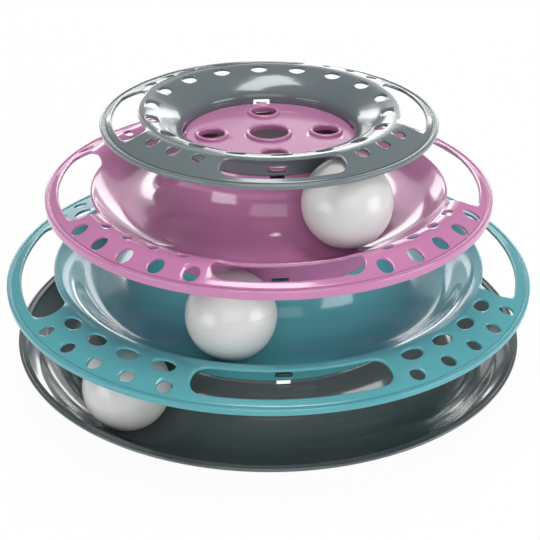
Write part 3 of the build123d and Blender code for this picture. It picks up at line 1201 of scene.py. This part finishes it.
class MouldedSkinGroup:
    """Node group for moulded plastic: flow clouds, orange peel, fine scuffs and settled dust."""

    NAME = "moulded_skin"
    INPUTS = {"Colour": "NodeSocketColor", "Deep Colour": "NodeSocketColor", "Cloud Scale": "NodeSocketFloat",
              "Gloss": "NodeSocketFloat", "Scuff": "NodeSocketFloat", "Dust": "NodeSocketFloat"}
    OUTPUTS = {"Colour": "NodeSocketColor", "Roughness": "NodeSocketFloat", "Coat": "NodeSocketFloat",
               "Height": "NodeSocketFloat"}
    CLOUD_DETAIL = 3.0
    CLOUD_RANGE = (0.35, 0.65)
    STREAK_STRETCH = (1.0, 0.16, 0.55)
    STREAK_TURN = (0.3, 0.2, 0.6)
    STREAK_NOISE = (620.0, 4.0, 0.6)
    STREAK_RANGE = (0.6, 0.72)
    PATCH_NOISE = (26.0, 2.0)
    PATCH_RANGE = (0.45, 0.7)
    SPECK_SCALE = 420.0
    SPECK_RANGE = (0.05, 0.12)
    LEVEL_RANGE = (0.5, 0.95)
    DUST_COLOUR = (0.62, 0.61, 0.59, 1.0)
    SCUFF_ROUGHNESS = 0.22
    CLOUD_ROUGHNESS = 0.03
    DUST_ROUGHNESS = 0.3
    COAT_RANGE = (0.35, 0.1)
    PEEL_NOISE = (260.0, 1.0)
    FLOW_NOISE = (34.0, 1.0)
    PEEL_HEIGHT = 0.25
    SCUFF_HEIGHT = -0.12

    @classmethod
    def get(cls) -> Tree:
        """Return the group, building it the first time.

        Returns:
            The node group.
        """
        if cls.NAME in bpy.data.node_groups:
            return bpy.data.node_groups[cls.NAME]
        tree = bpy.data.node_groups.new(cls.NAME, "ShaderNodeTree")
        for way, sockets in (("INPUT", cls.INPUTS), ("OUTPUT", cls.OUTPUTS)):
            for name, kind in sockets.items():
                tree.interface.new_socket(name, in_out=way, socket_type=kind)
        cls.fill(tree)
        return tree

    @classmethod
    def fill(cls, tree: Tree) -> None:
        """Add the group's nodes.

        Args:
            tree: Tree of the group.
        """
        shop = NodeShop(tree)
        given = shop.add("NodeGroupInput")
        put = shop.add("NodeGroupOutput")
        coords = shop.add("ShaderNodeTexCoord").outputs["Object"]
        clouds = shop.add("ShaderNodeTexNoise")
        shop.give(clouds, {"Detail": cls.CLOUD_DETAIL})
        shop.link(coords, clouds.inputs["Vector"])
        shop.link(given.outputs["Cloud Scale"], clouds.inputs["Scale"])
        cloud = shop.remap(clouds.outputs["Fac"], cls.CLOUD_RANGE)
        patch = shop.remap(shop.noise(coords, *cls.PATCH_NOISE), cls.PATCH_RANGE)
        scuffed = shop.math("MULTIPLY", cls.scuffs(shop, coords, patch), given.outputs["Scuff"])
        dust = shop.math("MULTIPLY", cls.specks(shop, coords, patch), given.outputs["Dust"])
        body = shop.blend(cloud, given.outputs["Colour"], given.outputs["Deep Colour"])
        shop.link(shop.blend(dust, body, cls.DUST_COLOUR), put.inputs["Colour"])
        rough = shop.math("MULTIPLY", scuffed, cls.SCUFF_ROUGHNESS)
        rough = shop.math("ADD", rough, given.outputs["Gloss"])
        rough = shop.math("ADD", rough, shop.math("MULTIPLY", cloud, cls.CLOUD_ROUGHNESS))
        rough = shop.math("ADD", rough, shop.math("MULTIPLY", dust, cls.DUST_ROUGHNESS))
        shop.link(rough, put.inputs["Roughness"])
        shop.link(shop.remap(scuffed, (0.0, 1.0), cls.COAT_RANGE), put.inputs["Coat"])
        height = shop.math("MULTIPLY", shop.noise(coords, *cls.PEEL_NOISE), cls.PEEL_HEIGHT)
        height = shop.math("ADD", height, shop.noise(coords, *cls.FLOW_NOISE))
        height = shop.math("ADD", height, shop.math("MULTIPLY", scuffed, cls.SCUFF_HEIGHT))
        shop.link(height, put.inputs["Height"])

    @classmethod
    def scuffs(cls, shop: NodeShop, coords: Socket, patch: Socket) -> Socket:
        """Add fine streaks that lie in patches.

        Args:
            shop: Shop of the group.
            coords: Coordinates on the piece.
            patch: Where the patches are.

        Returns:
            How much each place is scuffed.
        """
        stretch = shop.add("ShaderNodeMapping")
        shop.give(stretch, {"Scale": cls.STREAK_STRETCH, "Rotation": cls.STREAK_TURN})
        shop.link(coords, stretch.inputs["Vector"])
        streaks = shop.noise(stretch.outputs["Vector"], *cls.STREAK_NOISE)
        return shop.math("MULTIPLY", shop.remap(streaks, cls.STREAK_RANGE), patch)

    @classmethod
    def specks(cls, shop: NodeShop, coords: Socket, patch: Socket) -> Socket:
        """Add specks of dust that lie in patches on what faces up.

        Args:
            shop: Shop of the group.
            coords: Coordinates on the piece.
            patch: Where the patches are.

        Returns:
            How much dust lies on each place.
        """
        cells = shop.add("ShaderNodeTexVoronoi")
        shop.give(cells, {"Scale": cls.SPECK_SCALE})
        shop.link(coords, cells.inputs["Vector"])
        speck = shop.remap(cells.outputs["Distance"], cls.SPECK_RANGE, (1.0, 0.0))
        normal = shop.add("ShaderNodeSeparateXYZ")
        shop.link(shop.add("ShaderNodeNewGeometry").outputs["Normal"], normal.inputs["Vector"])
        level = shop.remap(normal.outputs["Z"], cls.LEVEL_RANGE)
        return shop.math("MULTIPLY", shop.math("MULTIPLY", speck, patch), level)


@dataclass(frozen=True)
class PlasticFinish:
    """Finish of a moulded plastic piece."""

    name: str
    colour: Colour
    deep_colour: Colour
    gloss: float
    cloud_scale: float = 22.0
    scuff: float = 0.2
    dust: float = 0.25
    bump: float = 0.035
    bump_distance: float = 0.0004
    ior: float = 1.5
    coat_roughness: float = 0.07

    def material(self) -> bpy.types.Material:
        """Make the material.

        Returns:
            The new material.
        """
        material, shop, shader = new_material(self.name)
        shop.give(shader, {"IOR": self.ior, "Coat Roughness": self.coat_roughness})
        skin = shop.add("ShaderNodeGroup", node_tree=MouldedSkinGroup.get())
        shop.give(skin, {"Colour": (*self.colour, 1.0), "Deep Colour": (*self.deep_colour, 1.0),
                         "Cloud Scale": self.cloud_scale, "Gloss": self.gloss, "Scuff": self.scuff,
                         "Dust": self.dust})
        for output, name in (("Colour", "Base Color"), ("Roughness", "Roughness"), ("Coat", "Coat Weight")):
            shop.link(skin.outputs[output], shader.inputs[name])
        shop.bump(shader, skin.outputs["Height"], self.bump, self.bump_distance)
        return material


@dataclass(frozen=True)
class RubberFinish:
    """Finish of the rubber feet: matt, grainy, with a pale bloom."""

    name: str
    colour: Colour
    bloom: Colour
    grain_noise: tuple[float, float] = (2400.0, 3.0)
    grain_range: tuple[float, float] = (0.3, 0.7)
    bloom_noise: tuple[float, float] = (160.0, 4.0)
    bloom_range: tuple[float, float] = (0.4, 0.75)
    roughness: tuple[float, float] = (0.68, 0.92)
    bump: float = 0.35
    bump_distance: float = 0.0002

    def material(self) -> bpy.types.Material:
        """Make the material.

        Returns:
            The new material.
        """
        material, shop, shader = new_material(self.name)
        coords = shop.add("ShaderNodeTexCoord").outputs["Object"]
        grain = shop.noise(coords, *self.grain_noise)
        bloom = shop.remap(shop.noise(coords, *self.bloom_noise), self.bloom_range)
        shop.link(shop.blend(bloom, (*self.colour, 1.0), (*self.bloom, 1.0)), shader.inputs["Base Color"])
        shop.link(shop.remap(grain, self.grain_range, self.roughness), shader.inputs["Roughness"])
        shop.bump(shader, grain, self.bump, self.bump_distance)
        return material


FINISHES: tuple[PlasticFinish | RubberFinish, ...] = (
    PlasticFinish("dark_grey_plastic", (0.093, 0.112, 0.114), (0.085, 0.103, 0.105), gloss=0.12),
    PlasticFinish("teal_plastic", (0.098, 0.375, 0.415), (0.089, 0.352, 0.392), gloss=0.14, ior=1.38),
    PlasticFinish("pink_plastic", (0.56, 0.215, 0.415), (0.53, 0.198, 0.388), gloss=0.1),
    PlasticFinish("grey_plastic", (0.145, 0.178, 0.188), (0.132, 0.165, 0.174), gloss=0.15),
    PlasticFinish("white_plastic", (0.63, 0.63, 0.625), (0.605, 0.605, 0.595), gloss=0.34, dust=0.1),
    RubberFinish("foot_rubber", (0.012, 0.012, 0.012), (0.03, 0.03, 0.029)),
)


class Wardrobe:
    """Hands out materials and puts finished pieces on the frame."""

    def __init__(self) -> None:
        """Make every finish once."""
        self.materials = {finish.name: finish.material() for finish in FINISHES}

    def dress(self, obj: Object, node: str, body: str, slot: str) -> None:
        """Give a piece its finish and put it in the place of its node.

        Args:
            obj: Finished piece.
            node: Solid that the piece stands for.
            body: Body that it rides on.
            slot: Material slot of the record.
        """
        Bench.take(obj)
        bpy.ops.object.shade_smooth_by_angle(angle=radians(SMOOTH_ANGLE))
        obj.data.materials.clear()
        obj.data.materials.append(self.materials[slot])
        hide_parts(node)
        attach(obj, body)
        LOG.info("%s: %d faces, rides on %s", obj.name, len(obj.data.polygons), body)


@dataclass(frozen=True)
class Panel:
    """Softbox: a square or oblong lamp that shines at a point of the tower."""

    name: str
    place: tuple[float, float, float]
    size: tuple[float, float]
    radiance: float
    aim: tuple[float, float, float] = (0.0, 0.0, 0.06)

    def build(self) -> None:
        """Hang the lamp and turn it to its aim."""
        power = self.radiance * pi * self.size[0] * self.size[1]
        lamp = bpy.data.lights.new(self.name, "AREA")
        lamp.shape = "RECTANGLE"
        lamp.size, lamp.size_y = self.size
        lamp.energy = power
        obj = bpy.data.objects.new(self.name, lamp)
        bpy.context.scene.collection.objects.link(obj)
        way = Vector(self.aim) - Vector(self.place)
        obj.matrix_world = Matrix.Translation(self.place) @ way.to_track_quat("-Z", "Y").to_matrix().to_4x4()
        obj.visible_camera = False


@dataclass
class Studio:
    """White floor, dim surroundings, softboxes and the camera."""

    eye: tuple[float, float, float] = (-0.0510, -0.5387, 0.3368)
    look: tuple[float, float, float] = (0.0842, 0.8764, -0.4741)
    roll: float = 0.27
    lens: float = 84.27
    lift: float = -0.0013
    ambient: float = 0.26
    floor_size: float = 40.0
    floor_tone: float = 0.9
    floor_share: float = 0.965
    sensor: float = 36.0
    near: float = 0.01
    panels: tuple[Panel, ...] = (
        Panel("overhead", (0.075, 0.06, 1.25), (0.72, 0.38), 8.8),
        Panel("front", (0.0, -1.3, 0.72), (1.3, 0.8), 1.5),
        Panel("back_top", (0.06, 1.15, 0.64), (1.2, 0.13), 0.9),
        Panel("back_left_high", (-0.25, 1.15, 0.455), (0.38, 0.22), 4.4),
        Panel("back_left_low", (-0.25, 1.15, 0.19), (0.38, 0.32), 0.9),
        Panel("back_right_high", (0.37, 1.15, 0.455), (0.62, 0.22), 4.2),
        Panel("back_right_low", (0.37, 1.15, 0.19), (0.62, 0.32), 0.9),
        Panel("back_right_floor", (0.19, 1.12, 0.1), (0.28, 0.15), 4.5),
        Panel("left", (-0.77, -0.46, 0.17), (0.5, 0.33), 4.6),
        Panel("right", (0.77, -0.46, 0.21), (0.5, 0.41), 5.5),
    )

    def build(self) -> None:
        """Set up the floor, the surroundings, the lamps and the camera."""
        self.floor()
        self.surroundings()
        for panel in self.panels:
            panel.build()
        self.camera()

    def floor(self) -> None:
        """Pale floor that shows white but keeps the shadow."""
        bpy.ops.object.select_all(action="DESELECT")
        bpy.ops.mesh.primitive_plane_add(size=self.floor_size)
        floor = bpy.context.active_object
        floor.name = "floor"
        material, shop, shader = new_material("floor")
        tone = (self.floor_tone, self.floor_tone, self.floor_tone, 1.0)
        shop.give(shader, {"Base Color": tone, "Roughness": 1.0, "Specular IOR Level": 0.0})
        glow = shop.add("ShaderNodeEmission")
        share = shop.math("MULTIPLY", self.seen(shop), self.floor_share)
        mix = shop.add("ShaderNodeMixShader")
        shop.link(share, mix.inputs["Fac"])
        shop.link(shader.outputs["BSDF"], mix.inputs[1])
        shop.link(glow.outputs["Emission"], mix.inputs[2])
        shop.link(mix.outputs["Shader"], material.node_tree.nodes["Material Output"].inputs["Surface"])
        floor.data.materials.append(material)

    @staticmethod
    def seen(shop: NodeShop) -> Socket:
        """Value that is 1 for what the camera, a mirror or a glass sees.

        Args:
            shop: Shop of the material.

        Returns:
            The value.
        """
        path = shop.add("ShaderNodeLightPath")
        both = shop.math("MAXIMUM", path.outputs["Is Camera Ray"], path.outputs["Is Glossy Ray"])
        return shop.math("MAXIMUM", both, path.outputs["Is Transmission Ray"])

    def surroundings(self) -> None:
        """Dim even surroundings: the softboxes do the rest."""
        world = bpy.data.worlds.new("studio")
        bpy.context.scene.world = world
        world.use_nodes = True
        sky = world.node_tree.nodes["Background"]
        sky.inputs["Color"].default_value = (1.0, 1.0, 1.0, 1.0)
        sky.inputs["Strength"].default_value = self.ambient

    def camera(self) -> None:
        """Camera at the fitted place."""
        data = bpy.data.cameras.new("camera")
        data.sensor_width = self.sensor
        data.sensor_fit = "HORIZONTAL"
        data.lens = self.lens
        data.shift_y = self.lift
        data.clip_start = self.near
        obj = bpy.data.objects.new("camera", data)
        bpy.context.scene.collection.objects.link(obj)
        ahead = Vector(self.look).normalized()
        right = ahead.cross(Vector((0.0, 0.0, 1.0))).normalized()
        up = right.cross(ahead)
        lean = radians(self.roll)
        right, up = right * cos(lean) + up * sin(lean), up * cos(lean) - right * sin(lean)
        turn = Matrix((right, up, -ahead)).transposed().to_4x4()
        obj.matrix_world = Matrix.Translation(self.eye) @ turn
        bpy.context.scene.camera = obj


def tiers() -> tuple[BaseTray, Tier, DiscTier]:
    """Sizes of the base tray and of the two tiers over it.

    Returns:
        The base tray, the lower tier and the middle tier.
    """
    base = BaseTray("base_tray", "dark_grey_plastic", hub=74.014, shoulder=29.3, floor=4.8, path=LOWER_PATH,
                    crest=(114.0, 13.5), crest_round=20.0, rim=122.074, rim_low=16.0, rim_height=1.3,
                    brim_angle=-28.0, bowl_angle=45.0, hub_inside=64.014, lip_width=1.5)
    lower_brim = Brim(slot_inner=102.4, slot_outer=118.2, front_half_angle=22.0, side_half_angle=24.0,
                      rows=[HoleRow(radius=117.214, count=5, step=8.7, radial=6.6, across=6.6),
                            HoleRow(radius=106.9, count=4, step=9.8, radial=6.6, across=10.8)])
    lower = Tier("lower_tier", "teal_plastic", hub=54.385, shoulder=65.0, floor=43.0, path=MIDDLE_PATH,
                 crest=(99.2, 55.15), crest_round=14.0, rim=124.914, rim_low=46.0, rim_height=2.6,
                 brim_angle=15.9, bowl_angle=41.5, bowl_round=14.0, hub_inside=44.385, brim=lower_brim,
                 stands_on=base)
    middle_brim = Brim(slot_inner=82.3, slot_outer=97.9, front_half_angle=20.1, side_half_angle=23.2,
                       rows=[HoleRow(radius=96.985, count=5, step=9.65, radial=7.6, across=6.8),
                             HoleRow(radius=87.6, count=4, step=9.7, radial=4.4, across=5.6)])
    middle = DiscTier("middle_tier", "pink_plastic", hub=41.2, shoulder=113.2, floor=86.3, path=UPPER_PATH,
                      crest=(87.5, 97.15), crest_round=9.5, rim=103.985, rim_low=87.2, rim_height=3.8,
                      brim_angle=23.7, bowl_angle=42.0, hub_inside=9.7, brim=middle_brim, stands_on=lower)
    return base, lower, middle


def balls() -> dict[str, tuple[Vector, Vector]]:
    """Places of the balls.

    Returns:
        Middle and seam normal of each ball, by name.
    """
    towards_viewer = Vector((-0.08, -0.87, 0.48))
    nearly_level = Vector((-0.16, 0.24, 0.96))
    spots = {"upper_ball": (UPPER_PATH, 27.0, 106.35, towards_viewer),
             "middle_ball": (MIDDLE_PATH, -17.6, 63.05, nearly_level),
             "lower_ball": (LOWER_PATH, -46.5, 24.85, towards_viewer)}
    places = {}
    for name, (path, angle, height, normal) in spots.items():
        turn = FRONT + radians(angle)
        places[name] = (Vector((path * cos(turn), path * sin(turn), height)), normal)
    return places


def main() -> None:
    """Build every piece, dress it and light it."""
    logging.basicConfig(level=logging.INFO, format="%(name)s: %(message)s")
    bpy.context.scene.view_settings.view_transform = "Standard"
    wardrobe = Wardrobe()
    base, lower, middle = tiers()
    for shell in (base, lower, middle, TopRing()):
        wardrobe.dress(shell.build(), shell.name, "tower", shell.slot)
    foot = Foot()
    for index, spot in enumerate(base.foot_spots(), 1):
        name = f"rubber_foot_{index}"
        wardrobe.dress(foot.build(f"{name}_pad", spot), name, "tower", "foot_rubber")
    ball = Ball()
    halves = ball.halves()
    for name, (middle, normal) in balls().items():
        for half, source in halves.items():
            copy = ball.place(source, f"{name}_{half}_shell", middle, normal)
            wardrobe.dress(copy, f"{name}_{half}", name, "white_plastic")
    for source in halves.values():
        bpy.data.objects.remove(source)
    Studio().build()


if __name__ == "__main__":
    main()
